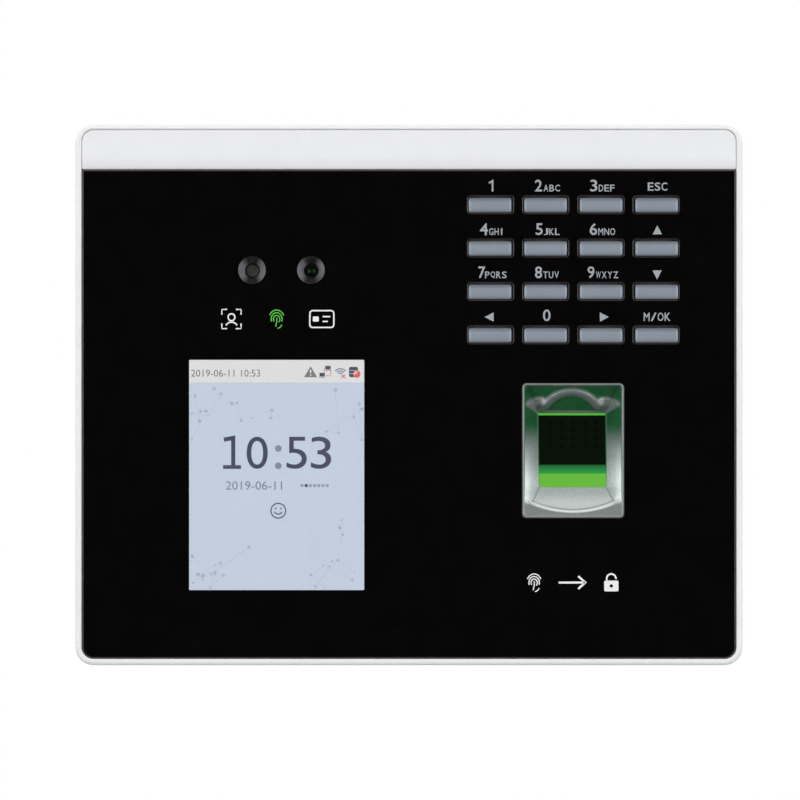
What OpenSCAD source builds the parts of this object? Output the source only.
// Wall terminal with a fingerprint reader, a keypad, a small screen and two face cameras.
// +Z is up, the front faces -Y, and the wall is the plane y = 0.
// The origin is the centre of the four wall screws.

/* [Body] */
// Overall width of the terminal
body_w = 167; // [165:1:172]
// Overall height of the terminal
body_h = 135.2; // [134:0.2:140]
// Depth from the wall to the front edge of the frame
body_d = 32; // [31.6:0.2:33]
// Radius of the outer corners, seen from the front
corner_r = 4.6; // [4:0.1:6]
// Width of the frame's lip at the sides and the bottom
lip_side = 1.6; // [1.4:0.1:1.8]
// Width of the frame's lip at the top
lip_top = 1.2; // [1:0.1:1.6]
// Wall thickness of the rear housing
shell_t = 2.2; // [1.8:0.1:2.4]

/* [Front panel] */
// Thickness of the panel and of the light strip above it
panel_t = 2; // [1.8:0.1:2.2]
// How far the panel lies behind the frame's front edge
panel_inset = 0.3; // [0.2:0.1:0.4]
// Height of the light strip across the top
trim_h = 10; // [8:0.5:12]

/* [Screen] */
// Width of the picture
screen_w = 43.8; // [40:0.2:44.4]
// Height of the picture
screen_h = 57.6; // [54:0.2:58]
// Centre of the picture, left or right of the middle
screen_x = -33.1; // [-34:0.1:-32]
// Centre of the picture, above or below the middle
screen_z = -20; // [-21:0.1:-19]

/* [Cameras] */
// Height of the two camera windows above the middle
camera_z = 31.25; // [30:0.25:33]
// Distance between the two cameras
camera_pitch = 14.75; // [14:0.25:16]
// Diameter of one camera window
camera_window_d = 6.9; // [6:0.1:7.4]

/* [Keypad] */
// Spacing of the key columns
key_pitch_x = 13.8; // [13.7:0.05:14]
// Spacing of the key rows
key_pitch_z = 10.85; // [10.6:0.05:11]
// Width of one key's opening in the panel
key_slot_w = 11.4; // [11.2:0.1:11.8]
// Height of one key's opening in the panel
key_slot_h = 4.4; // [4.2:0.1:4.8]
// Width of one key cap
key_cap_w = 10.7; // [10.2:0.05:10.75]
// Height of one key cap
key_cap_h = 3.7; // [3.4:0.05:3.7]
// How far a key sinks when it is pressed
key_travel = 0.8; // [0.5:0.1:0.8]

/* [Fingerprint reader] */
// Width of the reader's bezel
bezel_w = 25.3; // [25:0.1:25.6]
// Height of the reader's bezel
bezel_h = 33.6; // [33:0.1:34]
// Width of the glass window under the finger
window_w = 17; // [15:0.5:18]
// Height of the glass window under the finger
window_h = 18.5; // [17:0.5:19]

/* [Wall plate] */
// Width of the wall plate
plate_w = 128; // [126:1:130]
// Thickness of the wall plate
plate_t = 1.2; // [1:0.1:1.4]
// Spacing of the wall screws across
screw_pitch_x = 100; // [98:1:100]
// Spacing of the wall screws up and down
screw_pitch_z = 76; // [74:1:76]
// Diameter of the wall screw holes
screw_hole_d = 4.5; // [4:0.1:5]
// Spacing of the two holes that suit a square wall box
box_hole_pitch = 60.3; // [60:0.1:61]

/* [Hidden] */
$fn = 48;
eps = 0.01;
fit = 0.05;

// Depth levels, counted along Y from the wall towards the front
front_y = -body_d;
panel_front = front_y + panel_inset;
panel_back = panel_front + panel_t;
bulkhead_t = 1.8;
bulkhead_back = panel_back + bulkhead_t;
joint_y = -20;
back_y = -0.6;
recess_floor = -4.2;
recess_wall = -6.2;

// Opening of the frame that holds the panel and the light strip
frame_wall = 2;
pocket_w = body_w - 2 * lip_side;
pocket_h = body_h - lip_side - lip_top;
pocket_z = (lip_side - lip_top) / 2;
pocket_r = corner_r - lip_side;
pocket_gap = 0.05;
pocket_top = body_h / 2 - lip_top;
pocket_bottom = lip_side - body_h / 2;
trim_bottom = pocket_top - trim_h;

// Joint between the frame and the rear housing
housing_w = body_w - 1.2;
housing_h = body_h - 1.2;
housing_r = corner_r - 0.4;
chamfer = 5.4;
tongue_d = 2;
tongue_t = 1;
corner_screw_x = 76;
corner_screw_z = 59.5;

// Display parts
tray_w = 50;
tray_h = 69.2;
tray_z = screen_z - 2.6;
gasket_t = 0.5;
glass_front = panel_back + gasket_t;
glass_t = 1.4;
tray_front = glass_front + 0.3;
tray_back = tray_front + 2.5;

// Camera parts
camera_x = screen_x + 1.2;
shroud_r = 4.6;
shroud_back = panel_back + 3.5;
lens_throat_r = 1.9;
camera_board_front = shroud_back + 2.8;
camera_board_back = camera_board_front + 1;
camera_board_w = 36;
camera_board_h = 13;
camera_screw_x = 15.5;

// Keypad parts
keypad_x = 41.1;
keypad_z = 31.35;
cap_spread = 1.007;
cap_drop = 0.17;
cap_crown = 0.3;
flange_w = 12.6;
flange_h = 5.5;
flange_front = panel_back + fit;
flange_back = flange_front + 0.7;
post_back = flange_back + 0.15;
dome_front = post_back + key_travel + 0.3;
mat_front = dome_front + 0.6;
mat_back = mat_front + 0.9;
keypad_board_back = mat_back + 1.2;
bay_w = 3 * key_pitch_x + 14;
bay_h = 3 * key_pitch_z + 7;
keypad_board_w = 63;
keypad_board_h = 48;
keypad_screw_x = 29;
keypad_screw_z = 21.6;

// Fingerprint reader parts
reader_x = 41.05;
reader_z = -13.9;
window_top = -4.6;
window_bottom = window_top - window_h;
window_deep = panel_front + 6.8;
window_shallow = panel_front + 1.9;
bezel_front = front_y + 0.1;
bezel_back = -22.5;
holder_back = -13.5;
sensor_board_back = holder_back + 1.2;
ear_x = 16;
bezel_flange_w = 26.6;
bezel_flange_h = 38;
cavity_w = 21.4;

// Main board and what stands on its rear side
board_front = -21.1;
board_back = -19.5;
board_x0 = -62;
board_x1 = 22;
board_z0 = -11.5;
board_z1 = 52;
main_screws = [[-49.5, -7.8], [17.5, -6], [-58, 48], [18, 48]];
socket_face_z = -14.2;

// Wiring bay, open to the wall
bay_x0 = -60;
bay_x1 = 20;
bay_z0 = -44;
bay_z1 = -14;
bay_front = -20;
bay_wall = 1.8;

// Speaker
speaker_x = 38;
speaker_z = 36;
speaker_d = 28;

// Small board with the data socket and the reset switch
usb_x = 58;
reset_x = 44;
port_y = -9.9;
usb_board_front = -14;
usb_board_back = -12.8;
usb_screws = [[42, -48.5], [62, -48.5]];

// Wall plate, its hooks and the locking screw
lift = 8;
plate_top = 46;
plate_bottom = -50;
hook_x = 58;
hook_zs = [30, -1];
hook_w = 8;
hook_rise = 6.5;
hook_back = recess_wall - 0.3;
hook_front = hook_back - plate_t;
flange_top_z = -63.4;
flange_out = 12;
flange_half_w = 12;
lock_y = -7;
tamper_x = -8;
tamper_z = 32;

// Screw sizes
small_screw_r = 1;
small_head_r = 1.9;
small_head_h = 1.1;
large_screw_r = 1.5;
large_head_r = 2.7;
large_head_h = 1.9;

module round_rect(w, h, r) {
  square([w - 2 * r, h], center = true);
  square([w, h - 2 * r], center = true);
  for (sx = [-1, 1], sz = [-1, 1])
    translate([sx * (w / 2 - r), sz * (h / 2 - r)])
      circle(r);
}

// A flat-backed slab that faces the front, between two depths
module slab(w, h, r, y_front, y_rear) {
  translate([0, y_rear, 0])
    rotate([90, 0, 0])
      linear_extrude(y_rear - y_front)
        round_rect(w, h, r);
}

module box(x0, x1, y0, y1, z0, z1) {
  translate([x0, y0, z0])
    cube([x1 - x0, y1 - y0, z1 - z0]);
}

// A cylinder along Y between two depths
module rod_y(x, z, r, y_front, y_rear) {
  translate([x, y_rear, z])
    rotate([90, 0, 0])
      cylinder(r = r, h = y_rear - y_front);
}

// An outline of [y, z] points, extruded across X about a centre
module across(x, w, outline) {
  translate([x - w / 2, 0, 0])
    rotate([90, 0, 90])
      linear_extrude(w)
        polygon(outline);
}

// A screw along Y with its head at the rear
module screw_from_back(x, z, r, head_r, head_h, y_seat, length) {
  rod_y(x, z, r, y_seat - length, y_seat + eps);
  difference() {
    rod_y(x, z, head_r, y_seat, y_seat + head_h);
    cross_recess(x, z, head_r, y_seat + head_h);
  }
}

module cross_recess(x, z, head_r, y_top) {
  arm = head_r * 0.55;
  for (a = [0, 90])
    translate([x, y_top, z])
      rotate([0, a, 0])
        cube([2 * arm, 1, 0.5], center = true);
}

// A flat ribbon that follows a path in its own plane
function step_dir(a, b) = (b - a) / norm(b - a);
function path_dir(p, i) =
  let (back = i > 0 ? step_dir(p[i - 1], p[i]) : step_dir(p[0], p[1]))
  let (ahead = i < len(p) - 1 ? step_dir(p[i], p[i + 1]) : back)
  (back + ahead) / norm(back + ahead);
function side_point(p, i, half) =
  let (d = path_dir(p, i))
  p[i] + half * [-d[1], d[0]];

module ribbon_outline(path, t) {
  last = len(path) - 1;
  polygon(concat(
    [for (i = [0 : last]) side_point(path, i, t / 2)],
    [for (i = [last : -1 : 0]) side_point(path, i, -t / 2)]
  ));
}

// A round cable swept along a route, with eight sides
function route_dir(p, i) =
  let (a = p[max(i - 1, 0)], b = p[min(i + 1, len(p) - 1)])
  (b - a) / norm(b - a);
function frame_side(d) = abs(d[2]) < 0.9 ? cross(d, [0, 0, 1]) : cross(d, [0, 1, 0]);
function ring_point(p, i, k, r) =
  let (d = route_dir(p, i), s = frame_side(d) / norm(frame_side(d)), t = cross(d, s), a = 45 * k)
  p[i] + r * (cos(a) * s + sin(a) * t);

// Points of a smooth curve through the given ones
function blend_point(a, b, c, d, t) =
  0.5 * (2 * b + (c - a) * t + (2 * a - 5 * b + 4 * c - d) * t * t + (3 * b - a - 3 * c + d) * t * t * t);
function smooth(p, steps) = [
  for (i = [0 : len(p) - 2], k = [0 : steps - 1])
    blend_point(p[max(i - 1, 0)], p[i], p[i + 1], p[min(i + 2, len(p) - 1)], k / steps),
  p[len(p) - 1]
];

module cable(route, r) {
  path = smooth(route, 3);
  n = len(path);
  sides = 8;
  points = [for (i = [0 : n - 1], k = [0 : sides - 1]) ring_point(path, i, k, r)];
  walls = [
    for (i = [0 : n - 2], k = [0 : sides - 1])
      let (a = i * sides + k, b = i * sides + (k + 1) % sides)
      [a, b, b + sides, a + sides]
  ];
  caps = [
    [for (k = [sides - 1 : -1 : 0]) k],
    [for (k = [0 : sides - 1]) (n - 1) * sides + k]
  ];
  polyhedron(points, concat(walls, caps));
}

// Bosses behind the bulkhead with blind pilot holes
module boss(x, z, r, y_front, y_rear, pilot_r, pilot_depth) {
  difference() {
    rod_y(x, z, r, y_front, y_rear);
    rod_y(x, z, pilot_r, y_rear - pilot_depth, y_rear + eps);
  }
}

module at_keypad_screws() {
  for (sx = [-1, 1], sz = [-1, 1])
    translate([keypad_x + sx * keypad_screw_x, 0, keypad_z + sz * keypad_screw_z])
      children();
}

module at_camera_screws() {
  for (sx = [-1, 1])
    translate([camera_x + sx * camera_screw_x, 0, camera_z])
      children();
}

module at_reader_screws() {
  for (sx = [-1, 1])
    translate([reader_x + sx * ear_x, 0, reader_z])
      children();
}

module at_corners() {
  for (sx = [-1, 1], sz = [-1, 1])
    translate([sx * corner_screw_x, 0, sz * corner_screw_z])
      children();
}

module front_frame() {
  color("gainsboro")
    difference() {
      union() {
        difference() {
          slab(body_w, body_h, corner_r, front_y, joint_y);
          translate([0, 0, pocket_z])
            slab(pocket_w, pocket_h, pocket_r, front_y - 1, panel_back);
          slab(body_w - 2 * frame_wall, body_h - 2 * frame_wall, pocket_r, bulkhead_back, joint_y + 1);
        }
        at_corners() boss(0, 0, 3.6, bulkhead_back - eps, joint_y, large_screw_r + fit, 6.5);
        at_keypad_screws() boss(0, 0, 2, bulkhead_back - eps, mat_back, small_screw_r + fit, 1.6);
        at_camera_screws() boss(0, 0, 2.2, bulkhead_back - eps, camera_board_front, small_screw_r + fit, 3);
        at_reader_screws() boss(0, 0, 2.2, bulkhead_back - eps, bezel_back, small_screw_r + fit, 4);
      }
      translate([screen_x, 0, tray_z])
        slab(tray_w + 0.6, tray_h + 0.6, 0.8, panel_back - 1, bulkhead_back + 1);
      for (sx = [-1, 1])
        rod_y(camera_x + sx * camera_pitch / 2, camera_z, shroud_r + 0.1, panel_back - 1, bulkhead_back + 1);
      translate([keypad_x, 0, keypad_z])
        slab(bay_w, bay_h, 1, panel_back - 1, bulkhead_back + 1);
      translate([reader_x, 0, reader_z])
        slab(bezel_w + 0.4, bezel_h + 0.4, 1.2, panel_back - 1, bulkhead_back + 1);
    }
}

module top_trim() {
  color("whitesmoke")
    intersection() {
      translate([0, 0, pocket_z])
        slab(pocket_w - 2 * pocket_gap, pocket_h - 2 * pocket_gap, pocket_r, panel_front, panel_back);
      box(-body_w, body_w, panel_front - 1, panel_back + 1, trim_bottom + pocket_gap, body_h);
    }
}

module key_slot(column, row) {
  translate([keypad_x + (column - 1.5) * key_pitch_x, 0, keypad_z + (1.5 - row) * key_pitch_z])
    slab(key_slot_w, key_slot_h, 0.7, panel_front - 1, panel_back + 1);
}

module front_panel() {
  color("black")
    difference() {
      intersection() {
        translate([0, 0, pocket_z])
          slab(pocket_w - 2 * pocket_gap, pocket_h - 2 * pocket_gap, pocket_r, panel_front, panel_back);
        box(-body_w, body_w, panel_front - 1, panel_back + 1, -body_h, trim_bottom);
      }
      for (column = [0 : 3], row = [0 : 3])
        key_slot(column, row);
      translate([reader_x, 0, reader_z])
        slab(bezel_w + 0.1, bezel_h + 0.1, 1.05, panel_front - 1, panel_back + 1);
    }
}

module display_gasket() {
  color("dimgray")
    translate([screen_x, 0, screen_z])
      difference() {
        slab(screen_w + 4, screen_h + 4, 0.8, panel_back, glass_front);
        slab(screen_w + 0.8, screen_h + 0.8, 0.4, panel_back - 1, glass_front + 1);
      }
}

module display_screen() {
  color("lightsteelblue")
    translate([screen_x, 0, tray_z])
      slab(tray_w - 1.4, tray_h - 1.4, 0.3, glass_front, glass_front + glass_t);
}

module display_backlight() {
  color("silver")
    translate([screen_x, 0, tray_z])
      difference() {
        slab(tray_w, tray_h, 0.6, tray_front, tray_back);
        slab(tray_w - 1.2, tray_h - 1.2, 0.3, tray_front - 1, glass_front + glass_t);
      }
}

// Conical hood that narrows from the window to the lens
module camera_shroud(side) {
  color("dimgray")
    translate([camera_x + side * camera_pitch / 2, panel_back, camera_z])
      rotate([-90, 0, 0])
        rotate_extrude()
          polygon([
            [camera_window_d / 2, 0],
            [shroud_r, 0],
            [shroud_r, shroud_back - panel_back],
            [lens_throat_r, shroud_back - panel_back],
            [lens_throat_r, 2.4]
          ]);
}

// Lens barrel with a narrow nose in the throat of its hood
module camera_lens(side) {
  color("black")
    translate([camera_x + side * camera_pitch / 2, 0, camera_z]) {
      rod_y(0, 0, lens_throat_r - 0.1, shroud_back - 0.9, shroud_back);
      rod_y(0, 0, 3, shroud_back, camera_board_front);
    }
}

module camera_board() {
  color("darkgreen")
    translate([camera_x, 0, camera_z])
      difference() {
        slab(camera_board_w, camera_board_h, 1, camera_board_front, camera_board_back);
        for (sx = [-1, 1])
          rod_y(sx * camera_screw_x, 0, small_screw_r + fit, camera_board_front - 1, camera_board_back + 1);
      }
}

// Cap with a crown across its height, a flange behind the panel and a post over its dome
module key_cap(column, row) {
  crown_r = (key_cap_h * key_cap_h / 4 + cap_crown * cap_crown) / (2 * cap_crown);
  cap_x = keypad_x + (column - 1.5) * key_pitch_x * cap_spread;
  cap_z = keypad_z + (1.5 - row) * key_pitch_z - cap_drop;
  color("lightslategray")
    translate([cap_x, 0, cap_z]) {
      intersection() {
        slab(key_cap_w, key_cap_h, 0.5, front_y, flange_front + eps);
        translate([-key_cap_w, front_y + crown_r, 0])
          rotate([0, 90, 0])
            cylinder(r = crown_r, h = 2 * key_cap_w, $fn = 96);
      }
      slab(flange_w, flange_h, 0.5, flange_front, flange_back);
      rod_y(0, 0, 1.5, flange_back - eps, post_back);
    }
}

// Silicone sheet with one hollow dome and one contact pill under each key
module keypad_mat() {
  color("silver")
    difference() {
      union() {
        translate([keypad_x, 0, keypad_z])
          slab(bay_w - 1, bay_h - 1, 1, mat_front, mat_back);
        at_domes() rod_y(0, 0, 2.3, dome_front, mat_front + eps);
      }
      at_domes() rod_y(0, 0, 1.7, mat_front + 0.3, mat_back + eps);
    }
}

module at_domes() {
  for (column = [0 : 3], row = [0 : 3])
    translate([
      keypad_x + (column - 1.5) * key_pitch_x * cap_spread,
      0,
      keypad_z + (1.5 - row) * key_pitch_z - cap_drop
    ])
      children();
}

module keypad_board() {
  color("darkgreen")
    difference() {
      translate([keypad_x, 0, keypad_z])
        slab(keypad_board_w, keypad_board_h, 1, mat_back, keypad_board_back);
      at_keypad_screws() rod_y(0, 0, small_screw_r + fit, mat_back - 1, keypad_board_back + 1);
    }
}

// Sloping face of the window at a height z
function window_y(z) =
  window_deep + (window_shallow - window_deep) * (window_top - z) / window_h;

module fingerprint_bezel() {
  cavity_top = reader_z + bezel_h / 2 - 1.6;
  ledge_bottom = window_bottom - 0.6;
  ramp_end = reader_z - bezel_h / 2 + 3.4;
  color("silver")
    difference() {
      union() {
        translate([reader_x, 0, reader_z])
          slab(bezel_w, bezel_h, 1, bezel_front, bezel_back);
        translate([reader_x, 0, reader_z])
          slab(bezel_flange_w, bezel_flange_h, 1, bulkhead_back, bulkhead_back + 1.2);
      }
      across(reader_x, cavity_w, [
        [front_y - 2, cavity_top],
        [window_deep - 0.8, window_top + 1.2],
        [window_y(window_top + 0.5), window_top + 0.5],
        [window_y(ledge_bottom), ledge_bottom],
        [bezel_front + 0.6, ramp_end],
        [front_y - 2, ramp_end - 1]
      ]);
      box(
        reader_x - window_w / 2 - fit, reader_x + window_w / 2 + fit,
        front_y - 1, bezel_back + 1,
        window_bottom - fit, window_top + fit
      );
    }
}

module fingerprint_prism() {
  color("seagreen")
    across(reader_x, window_w, [
      [window_deep, window_top],
      [window_shallow, window_bottom],
      [bezel_back + 0.5, window_bottom],
      [holder_back - 0.8, window_bottom + 9],
      [holder_back - 0.8, window_top - 4],
      [bezel_back + 2, window_top]
    ]);
}

module sensor_holder() {
  color([0.1, 0.1, 0.1])
    difference() {
      union() {
        translate([reader_x, 0, reader_z])
          slab(bezel_w - 0.6, bezel_h - 1.6, 1, bezel_back, holder_back);
        translate([reader_x, 0, reader_z])
          slab(2 * ear_x + 4.4, 5, 2.2, bezel_back, bezel_back + 1.5);
      }
      box(
        reader_x - window_w / 2 - 0.2, reader_x + window_w / 2 + 0.2,
        bezel_back - 1, holder_back + 1,
        window_bottom - 0.4, window_top + 0.4
      );
      at_reader_screws() rod_y(0, 0, small_screw_r + fit, bezel_back - 1, bezel_back + 3);
    }
}

// Board that closes the holder, with its green lamps beside the prism and a plug at the back
module sensor_board() {
  color("darkgreen") {
    translate([reader_x, 0, reader_z])
      slab(bezel_w - 0.6, bezel_h - 1.6, 1, holder_back, sensor_board_back);
    box(reader_x - 6, reader_x + 6, sensor_board_back - eps, sensor_board_back + 2.6, -3, 1);
  }
}

module main_board() {
  color("darkgreen") {
    difference() {
      box(board_x0, board_x1, board_front, board_back, board_z0, board_z1);
      for (p = main_screws)
        rod_y(p[0], p[1], small_screw_r + fit, board_front - 1, board_back + 1);
    }
    box(8, 18, board_back - eps, board_back + 2.6, 27.5, 31);
    box(-2, 6, board_back - eps, board_back + 2.6, 40, 44);
  }
}

module processor_shield() {
  color("silver")
    box(-7, 13, board_back, board_back + 2.4, 2, 23);
}

// Network socket with its mouth facing down into the wiring bay
module network_socket() {
  x0 = -44;
  x1 = -28;
  y1 = -6.5;
  color("silver")
    difference() {
      box(x0, x1, board_back, y1, socket_face_z, 3.8);
      box(x0 + 2, x1 - 2, board_back + 2, y1 - 2.5, socket_face_z - 1, 0);
      box(x0 + 5, x1 - 5, y1 - 3, y1 - 0.9, socket_face_z - 1, 0);
    }
}

module power_jack() {
  jack_x = 6.5;
  jack_y = -14.4;
  color([0.08, 0.08, 0.08])
    difference() {
      box(jack_x - 4.6, jack_x + 4.6, board_back, -9, socket_face_z, 0);
      translate([jack_x, jack_y, socket_face_z - 1])
        cylinder(r = 2.9, h = 10.5);
    }
  color("silver")
    translate([jack_x, jack_y, socket_face_z + 1])
      cylinder(r = 1, h = 10);
}

// Row of screw terminals for power, lock, door sensor and exit button
module wiring_terminals() {
  ways = 6;
  pitch = 3.81;
  x0 = -25;
  y1 = board_back + 8.5;
  color("forestgreen")
    difference() {
      box(x0, x0 + ways * pitch + 0.6, board_back, y1, socket_face_z, -5);
      for (i = [0 : ways - 1]) {
        way_x = x0 + 0.3 + (i + 0.5) * pitch;
        box(way_x - 1.2, way_x + 1.2, board_back + 1.6, board_back + 4.4, socket_face_z - 1, -8);
        rod_y(way_x, socket_face_z + 4.5, 1.5, y1 - 1.2, y1 + 1);
      }
    }
}

module lock_relay() {
  color("royalblue")
    box(-52, -33, board_back, board_back + 11.5, 8, 23.5);
}

module coin_cell_holder() {
  cell_x = -20;
  cell_z = 36;
  color([0.1, 0.1, 0.1])
    difference() {
      union() {
        rod_y(cell_x, cell_z, 11.2, board_back, board_back + 4);
        box(cell_x - 13, cell_x + 13, board_back, board_back + 1.5, cell_z - 3, cell_z + 3);
      }
      rod_y(cell_x, cell_z, 10.1, board_back + 0.8, board_back + 5);
    }
}

module coin_cell() {
  color("lightgray")
    rod_y(-20, 36, 10, board_back + 0.8, board_back + 4);
}

module buzzer() {
  color([0.08, 0.08, 0.08])
    difference() {
      rod_y(13, 38, 6, board_back, board_back + 7.5);
      rod_y(13, 38, 1, board_back + 6, board_back + 8);
    }
}

module speaker_gasket() {
  color([0.15, 0.15, 0.15])
    difference() {
      rod_y(speaker_x, speaker_z, speaker_d / 2, recess_wall - 1, recess_wall);
      rod_y(speaker_x, speaker_z, speaker_d / 2 - 2.2, recess_wall - 2, recess_wall + 1);
    }
}

module speaker() {
  cone_y = recess_wall - 1;
  color("dimgray")
    difference() {
      union() {
        rod_y(speaker_x, speaker_z, speaker_d / 2, cone_y - 2, cone_y);
        rod_y(speaker_x, speaker_z, 7.5, cone_y - 5.5, cone_y - 1);
      }
      translate([speaker_x, cone_y, speaker_z])
        rotate([90, 0, 0])
          cylinder(r1 = speaker_d / 2 - 2.2, r2 = 4, h = 1.4, $fn = 48);
    }
}

module usb_board() {
  color("darkgreen")
    difference() {
      union() {
        box(38, 67, usb_board_front, usb_board_back, -64, -45);
        box(reset_x - 3, reset_x + 3, usb_board_back - eps, port_y + 2, -62, -56);
        box(47, 53, usb_board_back - eps, usb_board_back + 2.6, -49.5, -46);
      }
      for (p = usb_screws)
        rod_y(p[0], p[1], small_screw_r + fit, usb_board_front - 1, usb_board_back + 1);
      translate([reset_x, port_y, -63])
        cylinder(r = 1.3, h = 3);
    }
}

// Push stem of the reset switch, behind its pin hole
module reset_button() {
  color("black")
    translate([reset_x, port_y, -63.6])
      cylinder(r = 1.2, h = 3.2);
}

// Data socket in the bottom edge: a folded metal shell round a plastic tongue
module usb_socket() {
  half_w = 6.6;
  y0 = usb_board_back;
  y1 = usb_board_back + 5.8;
  mouth_z = -66.6;
  rear_z = -52.5;
  color("silver")
    difference() {
      box(usb_x - half_w, usb_x + half_w, y0, y1, mouth_z, rear_z);
      box(usb_x - half_w + 0.4, usb_x + half_w - 0.4, y0 + 0.4, y1 - 0.4, mouth_z - 1, rear_z - 1.5);
    }
  color("white")
    box(usb_x - 5.6, usb_x + 5.6, y1 - 2.7, y1 - 0.9, mouth_z + 1, rear_z - 1.4);
}

module tamper_switch() {
  color([0.1, 0.1, 0.1])
    difference() {
      box(tamper_x - 4, tamper_x + 4, -12, recess_wall, tamper_z - 4, tamper_z + 4);
      rod_y(tamper_x, tamper_z, 1.5, -10.6, recess_wall + 1);
    }
}

// Pin that the wall plate holds in
module tamper_plunger() {
  color("ivory")
    rod_y(tamper_x, tamper_z, 1.4, -9.4, -plate_t - 0.1);
}

// Flat cable that folds behind the display and climbs to the main board
module display_ribbon() {
  t = 0.25;
  y_low = glass_front + glass_t + t / 2;
  y_run = tray_back + 0.7;
  y_end = board_front - t / 2;
  bottom = tray_z - tray_h / 2;
  color("orange")
    translate([screen_x - 10, 0, 0])
      rotate([90, 0, 90])
        linear_extrude(20)
          ribbon_outline([
            [y_low, bottom],
            [y_low, bottom - 0.9],
            [y_low + 0.5, bottom - 1.5],
            [y_run - 0.5, bottom - 1.5],
            [y_run, bottom - 0.9],
            [y_run, -14],
            [y_run + 1, -11.5],
            [y_end - 1, -7],
            [y_end, -5],
            [y_end, 2]
          ], t);
}

module camera_ribbon() {
  t = 0.2;
  y_start = camera_board_back + t / 2;
  y_end = board_front - t / 2;
  color("orange")
    translate([camera_x - 5, 0, 0])
      rotate([90, 0, 90])
        linear_extrude(10)
          ribbon_outline([
            [y_start, camera_z - 2],
            [y_start, camera_z - 7.5],
            [y_end, camera_z - 12.5],
            [y_end, camera_z - 17]
          ], t);
}

module keypad_ribbon() {
  t = 0.2;
  y_start = keypad_board_back + t / 2;
  y_end = board_front - t / 2;
  color("orange")
    translate([0, 0, 24])
      linear_extrude(12)
        ribbon_outline([
          [17, y_start],
          [11.5, y_start],
          [10, y_start + 0.4],
          [7, y_end - 0.4],
          [5.5, y_end],
          [0, y_end]
        ], t);
}

module sensor_cable() {
  color([0.12, 0.12, 0.12])
    cable([
      [reader_x, sensor_board_back + 1.4, 1],
      [reader_x, sensor_board_back + 1.4, 4],
      [38, -11.3, 9],
      [30, -12.3, 17],
      [23, -14, 23.5],
      [18, -16.6, 24.2],
      [16.5, -17.6, 25.6],
      [16.5, -17.6, 27.5]
    ], 0.9);
}

module speaker_cable() {
  color("firebrick")
    cable([
      [speaker_x - 7.6, recess_wall - 4, speaker_z],
      [speaker_x - 9.5, recess_wall - 4.6, speaker_z - 1],
      [26, -12.4, 31],
      [18, -15, 29.8],
      [7, -15.8, 31.5],
      [2.4, -17, 35],
      [2, -17.6, 38],
      [2, -17.6, 40]
    ], 0.6);
}

module usb_cable() {
  color([0.12, 0.12, 0.12])
    cable([
      [50, usb_board_back + 1.4, -46],
      [50, usb_board_back + 1.4, -43.5],
      [46, usb_board_back + 1.4, -39],
      [34, -11, -37],
      [25.2, -12, -34],
      [24.6, -13, -26],
      [24.6, -13, -12],
      [24.6, -13, 4],
      [24.2, -13.6, 12],
      [20, -16.3, 19],
      [14.2, -17, 23.8],
      [10.5, -17.6, 25.6],
      [10.5, -17.6, 27.5]
    ], 0.9);
}

// Outer form of the rear housing, chamfered all round towards the wall
module housing_form() {
  half_w = housing_w / 2;
  half_h = housing_h / 2;
  intersection() {
    slab(housing_w, housing_h, housing_r, joint_y, back_y);
    translate([0, 0, -body_h])
      linear_extrude(2 * body_h)
        polygon([
          [-half_w, joint_y], [half_w, joint_y],
          [half_w, back_y - chamfer], [half_w - chamfer, back_y],
          [chamfer - half_w, back_y], [-half_w, back_y - chamfer]
        ]);
    across(0, 2 * body_w, [
      [joint_y, -half_h], [joint_y, half_h],
      [back_y - chamfer, half_h], [back_y, half_h - chamfer],
      [back_y, chamfer - half_h], [back_y - chamfer, -half_h]
    ]);
  }
}

// Tongue that seats the housing inside the frame's wall
module housing_tongue() {
  outer_w = body_w - 2 * frame_wall - 0.1;
  outer_h = body_h - 2 * frame_wall - 0.1;
  difference() {
    slab(outer_w, outer_h, pocket_r, joint_y - tongue_d, joint_y + eps);
    slab(outer_w - 2 * tongue_t, outer_h - 2 * tongue_t, pocket_r - tongue_t, joint_y - 5, joint_y + 1);
  }
}

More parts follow.
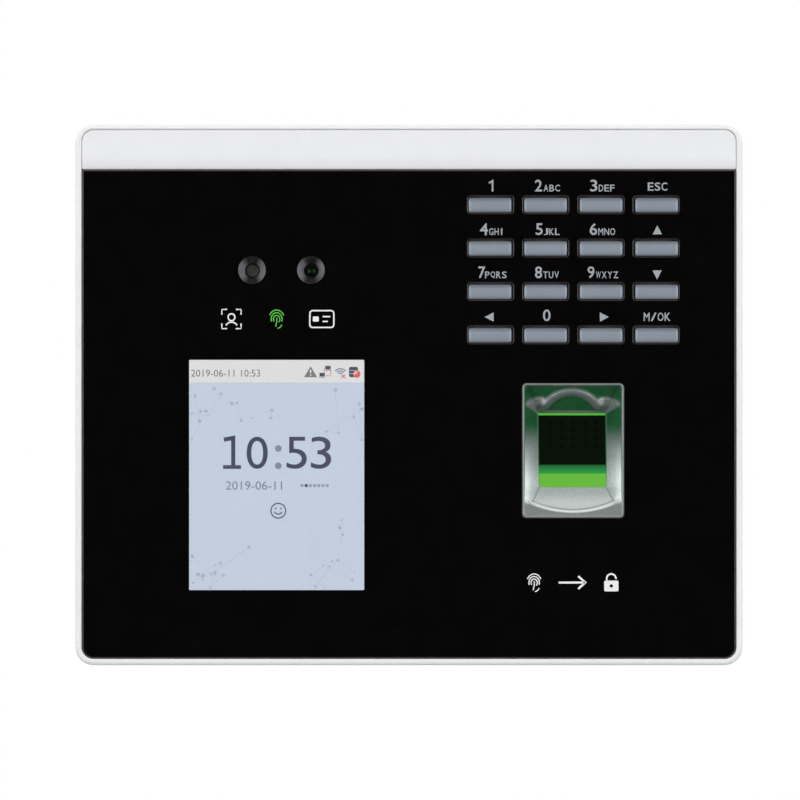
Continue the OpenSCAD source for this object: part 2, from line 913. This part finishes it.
module housing_holes() {
  // Recess for the wall plate, long enough for the lift
  box(-plate_w / 2 - 0.6, plate_w / 2 + 0.6, recess_floor, 1, plate_bottom - lift - 1, plate_top + 1);
  box(-flange_half_w - 1, flange_half_w + 1, recess_floor, 1, -body_h, 0);
  // Pocket for the bottom flange of the wall plate, and the way of its locking screw
  box(-flange_half_w - 1.5, flange_half_w + 1.5, -flange_out - 1, 1, -body_h, flange_top_z + 0.2);
  translate([0, lock_y, flange_top_z - 1])
    cylinder(r = large_screw_r + 0.1, h = 10);
  // Slots for the hooks
  for (sx = [-1, 1], hook_z = hook_zs)
    box(
      sx * hook_x - hook_w / 2 - 0.5, sx * hook_x + hook_w / 2 + 0.5,
      recess_wall - 1, recess_floor + 1,
      hook_z - plate_t / 2 - lift - 0.3, hook_z + plate_t / 2 + 0.1
    );
  // Wiring bay and the ways for the sockets in its upper wall
  box(bay_x0, bay_x1, bay_front, 1, bay_z0, bay_z1);
  box(-44.3, -27.7, board_back - 0.3, -6.2, bay_z1 - 1, bay_z1 + 3);
  box(-25.3, -1.2, board_back - 0.3, -10.7, bay_z1 - 1, bay_z1 + 3);
  box(1.6, 11.4, board_back - 0.3, -8.7, bay_z1 - 1, bay_z1 + 3);
  // Sound holes
  rod_y(speaker_x, speaker_z, 1, recess_wall - 1, recess_floor + 1);
  for (ring = [1, 2], k = [0 : ring * 6 - 1])
    rod_y(
      speaker_x + 4 * ring * cos(k * 60 / ring), speaker_z + 4 * ring * sin(k * 60 / ring),
      1, recess_wall - 1, recess_floor + 1
    );
  // Tamper pin, data socket and reset pin hole
  rod_y(tamper_x, tamper_z, 1.6, recess_wall - 1, recess_floor + 1);
  box(usb_x - 6.8, usb_x + 6.8, usb_board_back - 0.2, usb_board_back + 6, -body_h, -64);
  translate([reset_x, port_y, -body_h / 2])
    cylinder(r = 0.9, h = 5);
  // Corner screws with deep counterbores
  at_corners() {
    rod_y(0, 0, large_screw_r + 0.1, joint_y - 1, 1);
    rod_y(0, 0, large_head_r + 0.4, joint_y + 4, 1);
  }
}

module rear_housing() {
  inner_w = housing_w - 2 * shell_t;
  inner_h = housing_h - 2 * shell_t;
  color("gainsboro")
    difference() {
      union() {
        difference() {
          housing_form();
          slab(inner_w, inner_h, housing_r - 1.6, joint_y - 1, recess_wall);
        }
        housing_tongue();
        box(bay_x0 - bay_wall, bay_x1 + bay_wall, bay_front - bay_wall, recess_wall + 1, bay_z0 - bay_wall, bay_z1 + bay_wall);
        box(-flange_half_w - 3.5, flange_half_w + 3.5, -flange_out - 3, recess_wall + 1, -66, flange_top_z + 2.2);
        translate([0, lock_y, flange_top_z])
          cylinder(r = 3.4, h = 6);
        at_corners() rod_y(0, 0, 4.4, joint_y, recess_wall + 1);
        for (p = main_screws)
          boss(p[0], p[1], 3, board_back, recess_wall + 1, small_screw_r + fit, 5);
        for (p = usb_screws)
          boss(p[0], p[1], 2.3, usb_board_back, recess_wall + 1, small_screw_r + fit, 4);
      }
      housing_holes();
      for (p = main_screws)
        rod_y(p[0], p[1], small_screw_r + fit, board_back - 1, board_back + 5);
      for (p = usb_screws)
        rod_y(p[0], p[1], small_screw_r + fit, usb_board_back - 1, usb_board_back + 4);
    }
}

module housing_screws() {
  color("silver")
    at_corners() screw_from_back(0, 0, large_screw_r, large_head_r, large_head_h, joint_y + 4, 9.5);
}

// A small screw along Y with its head at the front
module screw_from_front(x, z, y_seat, length) {
  translate([x, 0, z])
    mirror([0, 1, 0])
      screw_from_back(0, 0, small_screw_r, small_head_r, small_head_h, -y_seat, length);
}

module board_screws() {
  color("silver") {
    at_keypad_screws() screw_from_back(0, 0, small_screw_r, small_head_r, small_head_h, keypad_board_back, 2.6);
    at_camera_screws() screw_from_back(0, 0, small_screw_r, small_head_r, small_head_h, camera_board_back, 3.5);
    at_reader_screws() screw_from_back(0, 0, small_screw_r, small_head_r, small_head_h, bezel_back + 1.5, 5);
    for (p = main_screws)
      screw_from_front(p[0], p[1], board_front, 6);
    for (p = usb_screws)
      screw_from_front(p[0], p[1], usb_board_front, 4.5);
  }
}

// Hook folded out of the plate: a neck towards the front and a finger that points up
module hook(x, z) {
  box(x - hook_w / 2, x + hook_w / 2, hook_front, eps - plate_t, z - plate_t / 2, z + plate_t / 2);
  box(x - hook_w / 2, x + hook_w / 2, hook_front, hook_back, z - plate_t / 2, z + hook_rise);
}

module wall_plate() {
  plate_mid = (plate_top + plate_bottom) / 2;
  color("lightgray")
    difference() {
      union() {
        translate([0, 0, plate_mid])
          slab(plate_w, plate_top - plate_bottom, 3, -plate_t, 0);
        for (sx = [-1, 1], z = hook_zs)
          hook(sx * hook_x, z);
        box(-flange_half_w, flange_half_w, -plate_t, 0, flange_top_z - plate_t, plate_bottom + 4);
        box(-flange_half_w, flange_half_w, -flange_out, 0, flange_top_z - plate_t, flange_top_z);
      }
      for (sx = [-1, 1], sz = [-1, 1])
        rod_y(sx * screw_pitch_x / 2, sz * screw_pitch_z / 2, screw_hole_d / 2, -plate_t - 1, 1);
      for (sx = [-1, 1])
        rod_y(sx * box_hole_pitch / 2, 12, 2.1, -plate_t - 1, 1);
      // Windows that the hooks were folded out of
      for (sx = [-1, 1], z = hook_zs)
        box(
          sx * hook_x - hook_w / 2, sx * hook_x + hook_w / 2,
          -plate_t - eps, 1,
          z + plate_t / 2, z + plate_t / 2 + hook_rise
        );
      // Way for the cables
      translate([-20, 0, -29])
        slab(52, 24, 4, -plate_t - 1, 1);
      translate([0, lock_y, flange_top_z - 3])
        cylinder(r = large_screw_r + fit, h = 5);
    }
}

// Locking screw, driven up through the flange into the housing
module lock_screw() {
  seat_z = flange_top_z - plate_t;
  color("silver")
    translate([0, lock_y, 0])
      difference() {
        union() {
          translate([0, 0, seat_z - eps])
            cylinder(r = large_screw_r, h = 6.5);
          translate([0, 0, seat_z - large_head_h])
            cylinder(r = large_head_r, h = large_head_h);
        }
        for (a = [0, 90])
          translate([0, 0, seat_z - large_head_h])
            rotate([0, 0, a])
              cube([3, 0.6, 1.6], center = true);
      }
}

front_frame();
top_trim();
front_panel();
display_screen();
display_backlight();
display_gasket();
camera_shroud(-1);  // camera_shroud_left
camera_shroud(1);  // camera_shroud_right
camera_lens(-1);  // camera_lens_left
camera_lens(1);  // camera_lens_right
camera_board();
key_cap(0, 0);  // key_1
key_cap(1, 0);  // key_2
key_cap(2, 0);  // key_3
key_cap(3, 0);  // key_escape
key_cap(0, 1);  // key_4
key_cap(1, 1);  // key_5
key_cap(2, 1);  // key_6
key_cap(3, 1);  // key_up
key_cap(0, 2);  // key_7
key_cap(1, 2);  // key_8
key_cap(2, 2);  // key_9
key_cap(3, 2);  // key_down
key_cap(0, 3);  // key_left
key_cap(1, 3);  // key_0
key_cap(2, 3);  // key_right
key_cap(3, 3);  // key_ok
keypad_mat();
keypad_board();
fingerprint_bezel();
fingerprint_prism();
sensor_holder();
sensor_board();
main_board();
processor_shield();
network_socket();
power_jack();
wiring_terminals();
lock_relay();
coin_cell();
coin_cell_holder();
buzzer();
speaker();
speaker_gasket();
usb_board();
usb_socket();
reset_button();
tamper_switch();
tamper_plunger();
display_ribbon();
camera_ribbon();
keypad_ribbon();
sensor_cable();
speaker_cable();
usb_cable();
rear_housing();
housing_screws();
board_screws();
wall_plate();
lock_screw();
